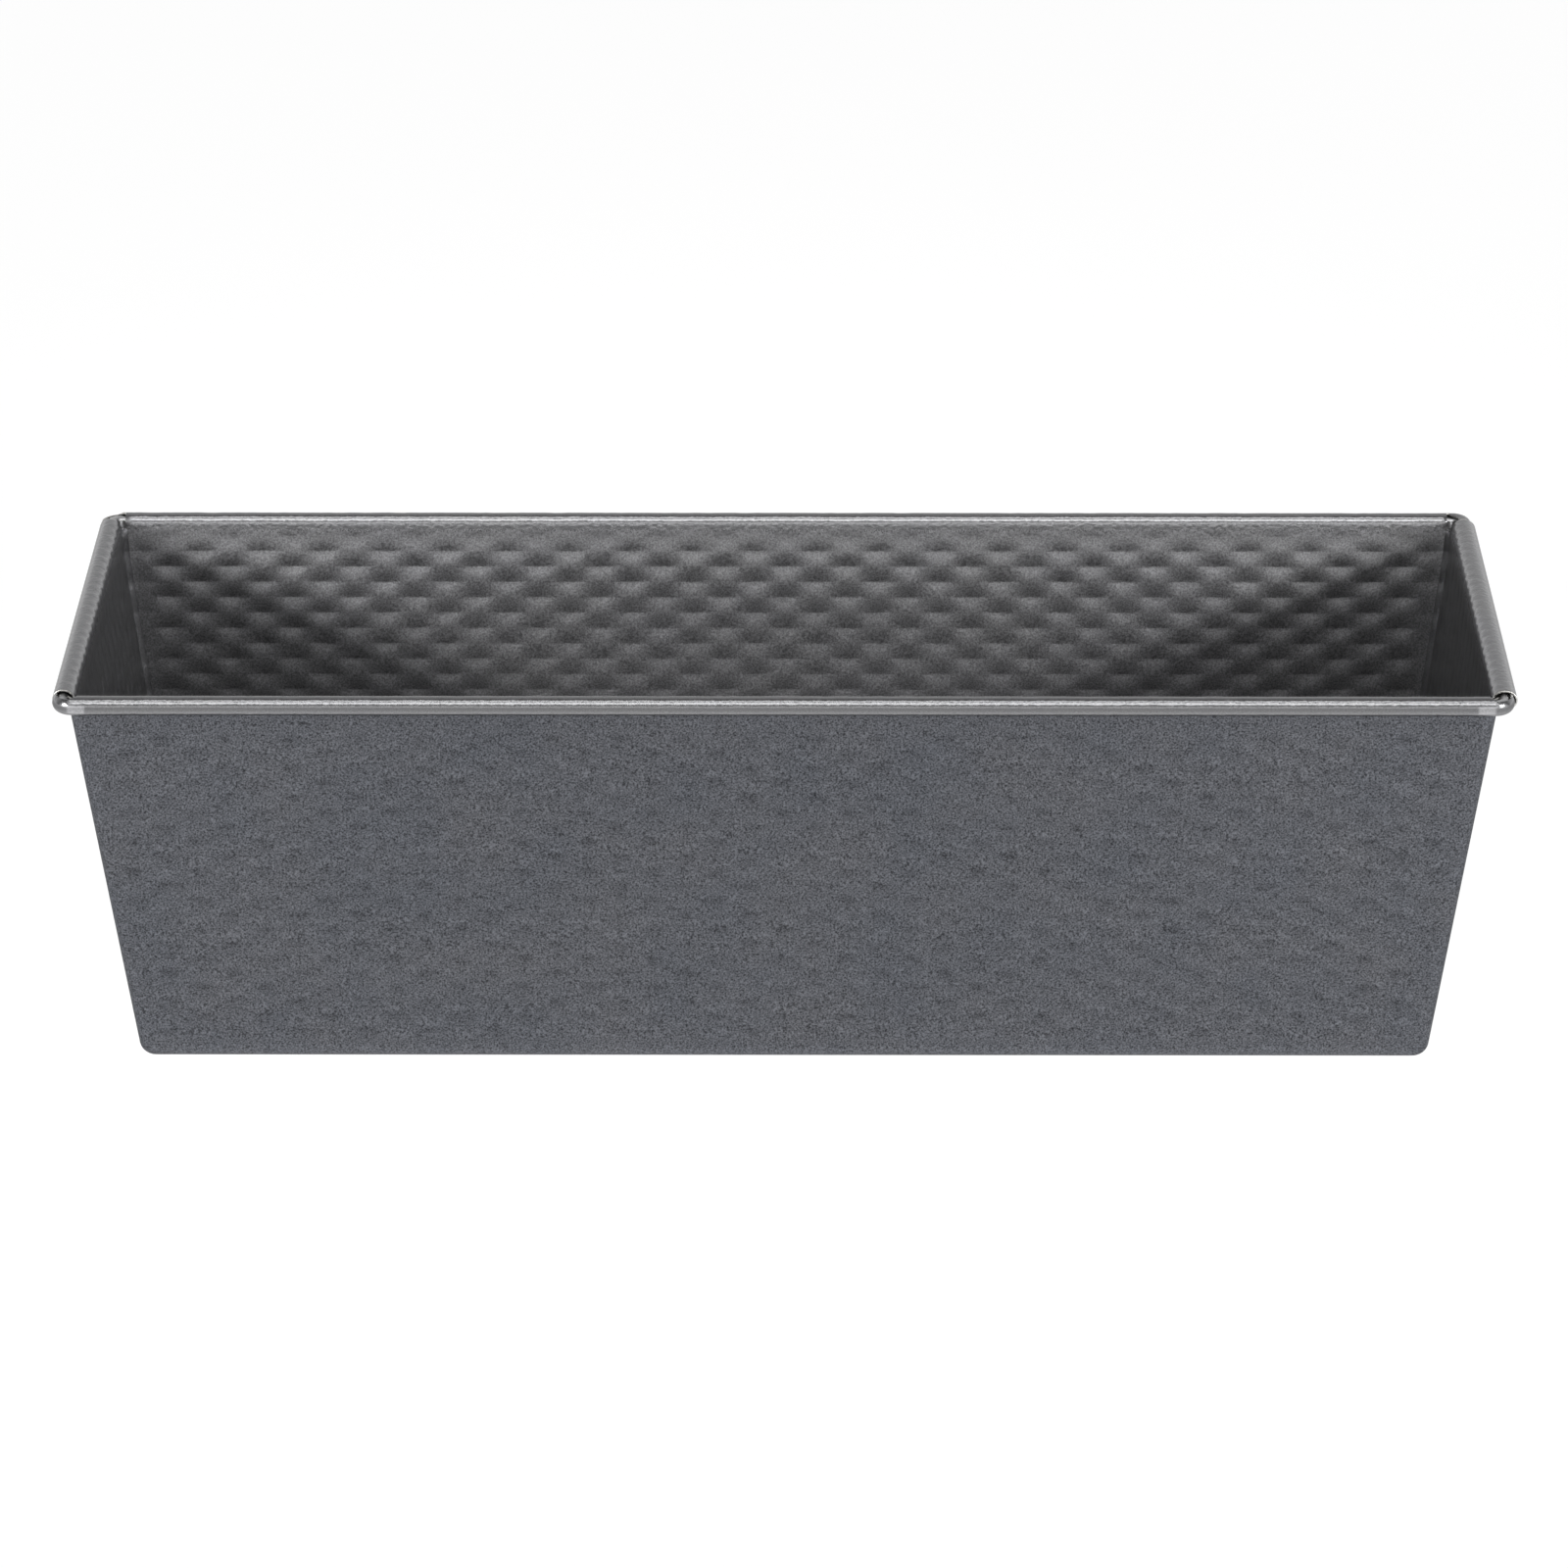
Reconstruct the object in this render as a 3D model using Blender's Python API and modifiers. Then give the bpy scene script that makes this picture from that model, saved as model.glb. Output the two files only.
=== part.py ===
"""Bread loaf pan of thin coated steel sheet, with rolled rims over a steel wire.

The trough is one folded sheet: base, front wall, back wall, the two long beads, a flap at each upright
corner and a low lip across each end. A flat panel closes each end inside the flaps and the lip, and its
top edge is rolled outward over them. A closed ring of wire runs inside all four rolled edges.

Metres, +Z up. The origin is under the middle of the base, X runs along the pan and the front is at -Y.
"""

import math

import bmesh
import bpy

# Sizes of the folded sheet. Lengths and widths are taken at the height of the rim's top.
TOP_LENGTH = 0.3008  # over the outsides of the end flaps
TOP_WIDTH = 0.1178  # over the outsides of the long walls
HEIGHT = 0.0875  # from the base's underside to the top of the long beads
END_TILT = math.radians(8.14)  # how far an end leans out from upright
SIDE_TILT = math.radians(7.29)  # how far a long wall leans out from upright
SHEET = 0.0004  # thickness of the steel sheet
BASE_BEND = 0.0036  # inside radius between the base and what rises from it
CORNER_BEND = 0.0019  # inside radius of the upright corners
CORNER_FOOT = 0.0004  # what that radius closes to at the base

# Sizes of the joint between the trough and the end panels.
FLAP_SPACE = 0.027  # between the two corner flaps of one end, at their tops
FLAP_FOOT = 0.003  # width of a corner flap where it rises from the lip
LIP_RISE = 0.008  # of the lip across each end, above the bend at the base
CLEARANCE = 0.0003  # between pieces that lie against each other

# Sizes of the rim.
WIRE = 0.0025  # diameter of the wire ring
WIRE_ROOM = 0.0004  # between the wire and the bead rolled round it
END_ROLL_EXTRA = 0.0003  # how much wider the end rolls are than the beads
ELBOW_INSIDE = 0.0003  # inside radius of the bead's elbows, seen from above

# Fineness of the round stretches.
BEND_STEPS = 5
CORNER_STEPS = 4
ELBOW_STEPS = 6
BACK_STEPS = 3  # up the back of a roll, which the corner notch takes off the elbows
ROLL_STEPS = 12  # on from the top of a roll to its lower edge
WIRE_STEPS = 2  # the curve's bevel resolution

QUARTER_TURN = math.radians(90)
SEAM_MERGE = 1e-6
SMOOTH_ANGLE = math.radians(35)

# How far an end and a long wall lean out for each unit of height.
END_SLOPE = math.tan(END_TILT)
SIDE_SLOPE = math.tan(SIDE_TILT)


def lean(slope):
    """Level thickness of a leaning sheet, for each unit of its real thickness."""
    return math.hypot(1.0, slope)


# Inside faces at the height of the rim's top, from the middle of the pan.
TROUGH_END = TOP_LENGTH / 2 - SHEET * lean(END_SLOPE)
TROUGH_SIDE = TOP_WIDTH / 2 - SHEET * lean(SIDE_SLOPE)
PANEL_FACE = TROUGH_END - (CLEARANCE + SHEET) * lean(END_SLOPE)

BEND_TOP = SHEET + BASE_BEND  # height where the bend at the base has ended
LIP_TOP = BEND_TOP + LIP_RISE
SIDE_RADIUS = WIRE / 2 + WIRE_ROOM + SHEET
END_RADIUS = SIDE_RADIUS + END_ROLL_EXTRA / 2
ELBOW_RADIUS = SIDE_RADIUS + ELBOW_INSIDE


def on_slope(top, slope, z):
    """Distance from the middle of a leaning face at height z."""
    return top - slope * (HEIGHT - z)


def roll_centre(top, slope, radius):
    """(distance from the middle, height) of a roll's centre, tangent to a leaning inside face."""
    z = HEIGHT - radius
    return on_slope(top, slope, z) + radius * lean(slope), z


SIDE_CENTRE, SIDE_CENTRE_Z = roll_centre(TROUGH_SIDE, SIDE_SLOPE, SIDE_RADIUS)
END_CENTRE, END_CENTRE_Z = roll_centre(PANEL_FACE, END_SLOPE, END_RADIUS)
WIRE_Z = SIDE_CENTRE_Z
FLAP_TOP = WIRE_Z - WIRE / 2 - CLEARANCE


def roll_angles(slope, radius, room):
    """Angles round a roll, from the wall over the top to its lower edge, counted up from straight out.

    The lower edge comes back towards the wall until it is `room` away from the wall's inside face.
    """
    wall = math.pi - math.atan(slope)
    edge = wall - 2 * math.pi + math.acos((radius - room) / radius)
    back = [wall + (QUARTER_TURN - wall) * i / BACK_STEPS for i in range(BACK_STEPS)]
    rest = [QUARTER_TURN + (edge - QUARTER_TURN) * i / ROLL_STEPS for i in range(ROLL_STEPS + 1)]
    return back + rest


def bend_levels():
    """Heights up the bend between the base and the walls, each with how far the bend has opened."""
    turns = [QUARTER_TURN * i / BEND_STEPS for i in range(BEND_STEPS + 1)]
    return [(SHEET + BASE_BEND * (1 - math.cos(turn)), math.sin(turn)) for turn in turns]


def inside_half(z, top, slope):
    """Half the trough's inside length or width at height z, the bend at the base included."""
    reach = lean(slope)
    if z >= BEND_TOP - BASE_BEND * slope / reach:
        return on_slope(top, slope, z)
    centre = on_slope(top, slope, BEND_TOP) - BASE_BEND * reach
    return centre + math.sqrt(BASE_BEND**2 - (BEND_TOP - z) ** 2)


def flat_half_width(z):
    """Half the width of an end's flat face at height z, between its two upright corners."""
    return on_slope(TROUGH_SIDE, SIDE_SLOPE, z) - CORNER_BEND


def quarter_ring(bm, z, opened):
    """Vertices of one quarter of the trough at height z: wall, upright corner, flap edge, end middle."""
    half_x = inside_half(z, TROUGH_END, END_SLOPE)
    half_y = inside_half(z, TROUGH_SIDE, SIDE_SLOPE)
    radius = CORNER_FOOT + (CORNER_BEND - CORNER_FOOT) * opened
    points = [(0.0, half_y)]
    for i in range(CORNER_STEPS + 1):
        turn = QUARTER_TURN * i / CORNER_STEPS
        points.append((half_x - radius * (1 - math.sin(turn)), half_y - radius * (1 - math.cos(turn))))
    flap_edge = FLAP_SPACE / 2 if z == FLAP_TOP else half_y - radius - FLAP_FOOT
    points.append((half_x, flap_edge))
    points.append((half_x, 0.0))
    return [bm.verts.new((x, y, z)) for x, y in points]


def add_strip(bm, lower, upper, spans):
    """Faces between two rows of vertices, over the spans named by their first vertex."""
    for i in spans:
        bm.faces.new((lower[i], lower[i + 1], upper[i + 1], upper[i]))


def add_tub(bm):
    """Base, wall, corner, flap and lip of one quarter. Returns the wall's two top vertices."""
    levels = bend_levels() + [(LIP_TOP, 1.0), (FLAP_TOP, 1.0)]
    rings = [quarter_ring(bm, z, opened) for z, opened in levels]
    middle = bm.verts.new((0.0, 0.0, SHEET))
    bm.faces.new([middle] + rings[0][::-1])
    whole = range(len(rings[0]) - 1)
    flap_side = range(len(rings[0]) - 2)
    for lower, upper in zip(rings[:-2], rings[1:-1]):
        add_strip(bm, lower, upper, whole)
    add_strip(bm, rings[-2], rings[-1], flap_side)
    return rings[-1][:2]


def roll_row(bm, x, y, turn, angles):
    """Vertices round the bead where its centre is at (x, y) and it has turned by `turn` round the elbow."""
    row = []
    for angle in angles:
        out = SIDE_RADIUS * math.cos(angle)
        z = SIDE_CENTRE_Z + SIDE_RADIUS * math.sin(angle)
        row.append(bm.verts.new((x + out * math.sin(turn), y + out * math.cos(turn), z)))
    return row


def add_roll(bm, rows):
    """Faces between neighbouring rows of a roll."""
    for near, far in zip(rows[:-1], rows[1:]):
        for i in range(len(near) - 1):
            bm.faces.new((near[i], far[i], far[i + 1], near[i + 1]))


def add_bead(bm, wall_top):
    """The long bead of one quarter, with its elbow: the roll goes on past the notch as an open hook."""
    angles = roll_angles(SIDE_SLOPE, SIDE_RADIUS, SHEET + CLEARANCE)
    tangent_z = SIDE_CENTRE_Z + SIDE_RADIUS * math.sin(angles[0])
    wall_end = on_slope(TROUGH_END, END_SLOPE, tangent_z) - CORNER_BEND
    middle = roll_row(bm, 0.0, SIDE_CENTRE, 0.0, angles)
    notch = roll_row(bm, wall_end, SIDE_CENTRE, 0.0, angles)
    hook_angles = angles[BACK_STEPS:]
    hook = [notch[BACK_STEPS:]]
    for i in range(ELBOW_STEPS + 1):
        turn = QUARTER_TURN * i / ELBOW_STEPS
        x = END_CENTRE - ELBOW_RADIUS * (1 - math.sin(turn))
        y = SIDE_CENTRE - ELBOW_RADIUS * (1 - math.cos(turn))
        hook.append(roll_row(bm, x, y, turn, hook_angles))
    mouth = flat_half_width(END_CENTRE_Z) + CLEARANCE
    hook.append(roll_row(bm, END_CENTRE, mouth, QUARTER_TURN, hook_angles))
    add_strip(bm, wall_top, [middle[0], notch[0]], [0])
    add_roll(bm, [middle, notch])
    add_roll(bm, hook)


def add_panel(bm):
    """Half of an end panel and its roll, at +X and +Y. It stops where the upright corner starts."""
    angles = roll_angles(END_SLOPE, END_RADIUS, 2 * SHEET + 2 * CLEARANCE)
    mouth = flat_half_width(END_CENTRE_Z)
    foot_x = on_slope(PANEL_FACE, END_SLOPE, BEND_TOP)
    rows = [[(foot_x, 0.0, BEND_TOP), (foot_x, flat_half_width(BEND_TOP), BEND_TOP)]]
    for angle in angles:
        x = END_CENTRE + END_RADIUS * math.cos(angle)
        z = END_CENTRE_Z + END_RADIUS * math.sin(angle)
        rows.append([(x, 0.0, z), (x, mouth, z)])
    add_roll(bm, [[bm.verts.new(point) for point in row] for row in rows])


def sheet_mesh(name, add_surface):
    """A mesh of the sheet's inside face, whose normals look into the pan and out of the rolls."""
    bm = bmesh.new()
    add_surface(bm)
    mesh = bpy.data.meshes.new(name)
    bm.to_mesh(mesh)
    bm.free()
    mesh.shade_smooth()
    mesh.set_sharp_from_angle(angle=SMOOTH_ANGLE)
    return mesh


def add_trough_quarter(bm):
    add_bead(bm, add_tub(bm))


def sheet_object(name, mesh, material, mirror_x, parent, collection):
    """The mirrored surface, thickened away from the inside of the pan."""
    piece = bpy.data.objects.new(name, mesh)
    if not mesh.materials:
        mesh.materials.append(material)
    mirror = piece.modifiers.new("other_side", "MIRROR")
    mirror.use_axis = (mirror_x, True, False)
    mirror.use_mirror_merge = True
    mirror.merge_threshold = SEAM_MERGE
    thickness = piece.modifiers.new("sheet_thickness", "SOLIDIFY")
    thickness.thickness = SHEET
    thickness.offset = -1.0
    thickness.use_even_offset = True
    piece.parent = parent
    collection.objects.link(piece)
    return piece


def wire_ring(name, material, parent, collection):
    """The closed wire, straight in the beads and rolls and bent at the four corners."""
    points = []
    for corner, (side_x, side_y) in enumerate(((1, 1), (-1, 1), (-1, -1), (1, -1))):
        for i in range(ELBOW_STEPS + 1):
            turn = QUARTER_TURN * (corner + i / ELBOW_STEPS)
            x = side_x * (END_CENTRE - ELBOW_RADIUS) + ELBOW_RADIUS * math.cos(turn)
            y = side_y * (SIDE_CENTRE - ELBOW_RADIUS) + ELBOW_RADIUS * math.sin(turn)
            points.append((x, y, WIRE_Z, 1.0))
    curve = bpy.data.curves.new(name, "CURVE")
    curve.dimensions = "3D"
    spline = curve.splines.new("POLY")
    spline.points.add(len(points) - 1)
    for point, place in zip(spline.points, points):
        point.co = place
    spline.use_cyclic_u = True
    curve.bevel_depth = WIRE / 2
    curve.bevel_resolution = WIRE_STEPS
    curve.materials.append(material)
    ring = bpy.data.objects.new(name, curve)
    ring.parent = parent
    collection.objects.link(ring)


def metal(name, colour, metallic, roughness):
    material = bpy.data.materials.new(name)
    material.use_nodes = True
    shader = material.node_tree.nodes["Principled BSDF"]
    shader.inputs["Base Color"].default_value = (*colour, 1.0)
    shader.inputs["Metallic"].default_value = metallic
    shader.inputs["Roughness"].default_value = roughness
    return material


def build():
    for old in list(bpy.data.objects):
        bpy.data.objects.remove(old)
    collection = bpy.data.collections.new("loaf_pan")
    bpy.context.scene.collection.children.link(collection)
    base_middle = bpy.data.objects.new("base_middle", None)
    collection.objects.link(base_middle)

    trough_coat = metal("trough_nonstick_coat", (0.105, 0.108, 0.118), 0.35, 0.42)
    panel_coat = metal("end_panel_nonstick_coat", (0.100, 0.103, 0.112), 0.35, 0.42)
    bright_steel = metal("rim_wire_steel", (0.55, 0.56, 0.57), 1.0, 0.35)

    trough = sheet_mesh("trough", add_trough_quarter)
    sheet_object("trough", trough, trough_coat, True, base_middle, collection)
    panel = sheet_mesh("end_panel", add_panel)
    sheet_object("right_end", panel, panel_coat, False, base_middle, collection)
    left_end = sheet_object("left_end", panel, panel_coat, False, base_middle, collection)
    left_end.rotation_euler.z = math.pi
    wire_ring("rim_wire", bright_steel, base_middle, collection)


build()
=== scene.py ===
# %% [markdown]
# A bread loaf pan of embossed steel sheet with a non-stick coat.
#
# The pan is four pieces: a trough folded from one sheet, two end panels lapped inside it, and a ring of wire
# that runs inside the rolled rims. This lesson builds each piece as one thin surface, the face that touches
# the bread, and then gives that surface the thickness of the sheet.
#
# The imported CAD model comes first. It fixes every size.

# %% Load the imported model
import math

import bmesh
import bpy
import numpy as np
from mathutils import Matrix, Vector


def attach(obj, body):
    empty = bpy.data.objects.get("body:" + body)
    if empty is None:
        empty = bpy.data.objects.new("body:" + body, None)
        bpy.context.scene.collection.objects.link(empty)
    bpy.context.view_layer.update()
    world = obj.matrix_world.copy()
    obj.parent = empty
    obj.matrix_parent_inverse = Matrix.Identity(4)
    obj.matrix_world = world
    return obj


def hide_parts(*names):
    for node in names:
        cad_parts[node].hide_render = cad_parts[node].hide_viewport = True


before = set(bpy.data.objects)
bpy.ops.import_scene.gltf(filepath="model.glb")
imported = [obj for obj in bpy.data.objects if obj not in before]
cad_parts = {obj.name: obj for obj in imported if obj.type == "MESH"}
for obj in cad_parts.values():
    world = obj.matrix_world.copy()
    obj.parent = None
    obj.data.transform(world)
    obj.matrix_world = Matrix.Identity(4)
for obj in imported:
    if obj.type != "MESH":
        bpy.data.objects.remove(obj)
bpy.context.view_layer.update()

print("CAD nodes:", sorted(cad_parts))

# %% [markdown]
# Sizes. They are the ones that the solids were made from, in metres. Lengths and widths are taken at the
# height of the rim's top, because the walls lean out and every level of the pan has its own length.

# %% Sizes of the sheet and the rim
MM = 0.001
TOP_LENGTH = 300.8 * MM
TOP_WIDTH = 117.8 * MM
HEIGHT = 87.5 * MM
END_SLOPE = math.tan(math.radians(8.14))
SIDE_SLOPE = math.tan(math.radians(7.29))
SHEET = 0.4 * MM
BASE_BEND = 3.6 * MM
CORNER_BEND = 1.9 * MM
CORNER_FOOT = 0.4 * MM
CLEARANCE = 0.3 * MM
PANEL_REACH = 0.4 * MM  # how far the flat of an end panel reaches into the bend of the upright corners
PANEL_EDGE = 1.1 * MM  # the panel's edge is then turned inward, to close the corner
CORNER_TOP = 86.3 * MM  # the corners rise between the bead's end and the roll's mouth
WIRE = 2.5 * MM
QUARTER_TURN = math.radians(90)


def lean(slope):
    """Level thickness of a leaning sheet, for each unit of its real thickness."""
    return math.hypot(1.0, slope)


TROUGH_END = TOP_LENGTH / 2 - SHEET * lean(END_SLOPE)
TROUGH_SIDE = TOP_WIDTH / 2 - SHEET * lean(SIDE_SLOPE)
PANEL_FACE = TROUGH_END - (CLEARANCE + SHEET) * lean(END_SLOPE)
BEND_TOP = SHEET + BASE_BEND
LIP_TOP = BEND_TOP + 8.0 * MM
SIDE_RADIUS = WIRE / 2 + 0.4 * MM + SHEET
END_RADIUS = SIDE_RADIUS + 0.15 * MM
ELBOW_RADIUS = SIDE_RADIUS + 0.3 * MM


def on_slope(top, slope, z):
    """Distance from the middle of a leaning face at height z."""
    return top - slope * (HEIGHT - z)


def roll_centre(top, slope, radius):
    """(distance from the middle, height) of a roll's centre, tangent to a leaning inside face."""
    z = HEIGHT - radius
    return on_slope(top, slope, z) + radius * lean(slope), z


SIDE_CENTRE, SIDE_CENTRE_Z = roll_centre(TROUGH_SIDE, SIDE_SLOPE, SIDE_RADIUS)
END_CENTRE, END_CENTRE_Z = roll_centre(PANEL_FACE, END_SLOPE, END_RADIUS)
FLAP_TOP = SIDE_CENTRE_Z - WIRE / 2 - CLEARANCE
print(f"inside length {2 * TROUGH_END / MM:.1f} mm, inside width {2 * TROUGH_SIDE / MM:.1f} mm at the rim")

# %% [markdown]
# Embossing. The sheet was pressed between patterned rollers before it was folded. Seen from the bread's side
# it has rows of shallow pits, each with one straight crease at its bottom, and the pits of neighbouring
# columns lie half a step apart. Bread lets go of such a sheet easily, and the pattern makes it stiffer.
#
# The pattern is a formula of two distances along the sheet. One half of it draws the pits of the even
# columns, the other half those of the odd columns, and each fades out before the next column's middle.
# Points of the mesh are really moved by it, so the pattern is in the shape and not only in the shading.

# %% The embossed pattern
COLUMN_PITCH = 13.8 * MM  # from one even column of pits to the next
PIT_PITCH = 7.05 * MM  # from one pit to the next in the same column
PIT_DEPTH = 0.38 * MM
PIT_NARROWNESS = 2.4  # at 1 the pits of neighbouring columns touch, above it a flat crest stays between them
CREASE_SOFTNESS = 0.06


def fade(value, none, full):
    """0 where value is at `none`, 1 where it is at `full`, and a smooth change between them."""
    share = np.clip((value - none) / (full - none), 0.0, 1.0)
    return share * share * (3.0 - 2.0 * share)


def pit_row(along):
    """Height between the creases of one column, 0 in a crease and 1 half-way to the next."""
    wave = np.sqrt(np.sin(math.pi * along / PIT_PITCH) ** 2 + CREASE_SOFTNESS**2) - CREASE_SOFTNESS
    return wave / (math.sqrt(1.0 + CREASE_SOFTNESS**2) - CREASE_SOFTNESS)


def relief(across, along):
    """Height of the embossed sheet, 0 in the creases and 1 on the crests, for distances from an even pit."""
    column = np.cos(2.0 * math.pi * across / COLUMN_PITCH)
    even = (0.5 + 0.5 * column) ** PIT_NARROWNESS
    odd = (0.5 - 0.5 * column) ** PIT_NARROWNESS
    return 1.0 - even * (1.0 - pit_row(along)) - odd * (1.0 - pit_row(along + PIT_PITCH / 2))


def unevenness(along, seed):
    """A slow wander between about -1 and 1, as hand-fed rolling leaves it, from four sine waves."""
    lengths = (31.0 * MM, 17.3 * MM, 9.1 * MM, 5.7 * MM)
    waves = [np.sin(2.0 * math.pi * along / length + seed * (i + 1.7)) for i, length in enumerate(lengths)]
    return sum(waves) / 2.4


sample = relief(np.linspace(0, COLUMN_PITCH, 50)[:, None], np.linspace(0, PIT_PITCH, 50))
print(f"relief runs from {sample.min():.2f} to {sample.max():.2f} of {PIT_DEPTH / MM} mm")

# %% [markdown]
# Levels. All patches of the trough share one list of heights, so that they meet point to point along their
# edges. The rows on the walls follow the pattern's own step, a tenth of the distance between two pits, which
# puts a row of points exactly in each crease.

# %% Heights of the trough's rows of points
ROW_STEP = PIT_PITCH / 10
CREASE_SIDE = 0.18 * MM  # two more rows beside each crease keep it sharp
BACK_CREASE = 11.6 * MM  # distance down the sheet from the rim's top to an even pit of the back wall
FRONT_CREASE = 6.6 * MM
BEND_STEPS = 9


def down_sheet(z, slope):
    """Distance down a leaning sheet from the level of the rim's top."""
    return (HEIGHT - z) * lean(slope)


def snapped(levels, z):
    """The levels with the one nearest to z moved onto it."""
    levels = levels.copy()
    levels[np.argmin(np.abs(levels - z))] = z
    return levels


def wall_levels():
    """Heights up the wall, from the end of the bend at the base to the tops of the corner flaps."""
    steps = np.arange(-30, 130) * ROW_STEP
    beside = [steps[::5] - CREASE_SIDE, steps[::5] + CREASE_SIDE]
    levels = HEIGHT - (BACK_CREASE + np.concatenate([steps, *beside])) / lean(SIDE_SLOPE)
    levels = np.sort(levels[(levels > BEND_TOP + ROW_STEP / 2) & (levels < FLAP_TOP + ROW_STEP / 2)])
    return snapped(snapped(levels, LIP_TOP), FLAP_TOP)


bend_turns = np.linspace(0.0, QUARTER_TURN, BEND_STEPS + 1)
levels = np.concatenate([SHEET + BASE_BEND * (1.0 - np.cos(bend_turns)), wall_levels()])
opened = np.concatenate([np.sin(bend_turns), np.ones(len(levels) - len(bend_turns))])
corner_radius = CORNER_FOOT + (CORNER_BEND - CORNER_FOOT) * opened
print(f"{len(levels)} levels from the base to the flap tops")


def inside_half(z, top, slope):
    """Half the trough's inside length or width at heights z, the bend at the base included."""
    reach = lean(slope)
    centre = on_slope(top, slope, BEND_TOP) - BASE_BEND * reach
    bend = centre + np.sqrt(np.clip(BASE_BEND**2 - (BEND_TOP - z) ** 2, 0.0, None))
    return np.where(z >= BEND_TOP - BASE_BEND * slope / reach, on_slope(top, slope, z), bend)


half_length = inside_half(levels, TROUGH_END, END_SLOPE)
half_width = inside_half(levels, TROUGH_SIDE, SIDE_SLOPE)
flat_length = half_length - corner_radius
flat_width = half_width - corner_radius

# %% [markdown]
# Patches. A patch is a grid of points, and each point carries three more numbers. The first, from 0 to 1, says
# how much the sheet was rolled and rubbed there. The second is painted light and shade: about 1 in the crease
# of a pit or in a dark band on a bead, where shade is painted, 0 on the flat, and below 0 where light is
# painted. The third, from 0 to 1, is painted shade in the corners and on the end panels. The materials read
# them. Patches are drawn for one corner of the pan and mirrored to the others, and a mirrored patch has its
# columns turned round so that its faces still look at the bread.
#
# The pattern fades out towards the base and the upright corners, where the sheet was bent after the embossing.

# %% Patches of the sheet
WALL_COLUMNS = 176
END_COLUMNS = 132
CORNER_COLUMNS = 8
BASE_MARGIN = (0.0, 3.0 * MM)  # distances from the edge of the flat base, where its pattern starts and is full
FOOT_MARGIN = (3.5 * MM, 8.0 * MM)  # the same for heights above the floor, on the walls and ends
WALL_MARGIN = (0.3 * MM, 3.5 * MM)  # the same for distances from the upright corners, on the walls
END_MARGIN = (0.3 * MM, 3.0 * MM)  # and on the ends
CREASE_HEIGHTS = (0.6, 0.1)  # heights of the relief where the painted shade of a crease starts and is full


def patch(x, y, z, rolled, sign_x=1, sign_y=1, painted_light_and_shade=0.0, painted_shade=0.0):
    """A grid of points with their three numbers, mirrored to the side that the signs name."""
    x, y, z, rolled, painted_light_and_shade, painted_shade = np.broadcast_arrays(x, y, z, rolled, painted_light_and_shade, painted_shade)
    grid = np.stack([x * sign_x, y * sign_y, z, rolled, painted_light_and_shade, painted_shade], axis=-1)
    return grid[:, ::-1] if sign_x * sign_y < 0 else grid


def near_crease(height, shown):
    """How near a point of the embossing is to the crease of a pit, from its height and how much shows there; it sets
    the painted shade in the creases.
    """
    return fade(height, *CREASE_HEIGHTS) * shown


def spread(columns):
    """Even steps from one edge of a patch to the other, as a share from -1 to 1."""
    return np.linspace(-1.0, 1.0, columns + 1)


def base_patch():
    """The flat base. Its pattern only rises, so the pan still stands flat."""
    x = spread(WALL_COLUMNS) * flat_length[0]
    y = spread(END_COLUMNS)[:, None] * flat_width[0]
    margin = np.minimum(flat_length[0] - np.abs(x), flat_width[0] - np.abs(y))
    height = relief(x, y)
    shown = fade(margin, *BASE_MARGIN)
    return patch(x, y, SHEET + PIT_DEPTH * height * shown, 0.0, painted_light_and_shade=near_crease(height, shown))


# %% [markdown]
# Long walls and beads. The wall rises from the bend at the base, leans out, and at the top is rolled outward
# round the wire into a bead. Such a bead is made by a tool that curls the edge a little more at each pass, so
# it is round but never quite even. Bands of painted shade and painted reflection run along the bead, darker
# and lighter by the angle round it. Below the bead the tool has flattened the pattern, which fades there over
# a centimetre.
#
# The pits aren't all pressed equally deep, and the painted shade in them isn't equally dark. Two slow waves that
# run across the wall at a slant vary both.

# %% Long walls with their beads
BACK_STEPS = 8
ROLL_STEPS = 22
BEAD_WANDER = 0.05 * MM  # how far the bead strays from round
BEAD_EVEN_END = 8.0 * MM  # over this length at each end it turns round
BEAD_EVEN_BACK = 2.2  # and it does from this angle, in radians, back to the wall
COLUMN_SHIFT = 0.2 * MM  # the middle column of pits lies that much left of the middle
BEAD_MARGIN = (2.5 * MM, 11.0 * MM)  # distances down the sheet where the pattern starts and is full
ROLLED_MARGIN = (5.0 * MM, 2.0 * MM)  # distances down the sheet where the rubbing starts and is full
DEPTH_WANDER = 0.1  # share by which the pits' depth varies
PAINTED_CREASE_SHADE, PAINTED_CREASE_WANDER = 0.8, 0.4  # strength of the painted shade in the creases, and how much it varies
ROLLED_PAINTED_LIGHT = 1.4  # painted highlight: how much lighter the rolled top of a wall is painted
FOOT_PAINTED_LIGHT = 1.3  # the bend at the base is painted lighter too, as a painted reflection
FOOT_HEIGHTS = (4.0 * MM, 2.0 * MM)  # heights where that starts and is full
# degrees up from straight out, and how dark the painted shade there is; below 0 it is painted light and reflection
BEAD_PAINTED_SHADING = (
    (-90, -1.2), (-35, -1.2), (-20, 0.0), (-8, 1.5), (8, 1.5), (24, 0.0), (32, -0.9), (42, -0.9),
    (48, 0.0), (56, 1.3), (68, 1.3), (80, 0.0), (140, 0.0), (150, -1.4), (270, -1.4),
)


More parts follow.
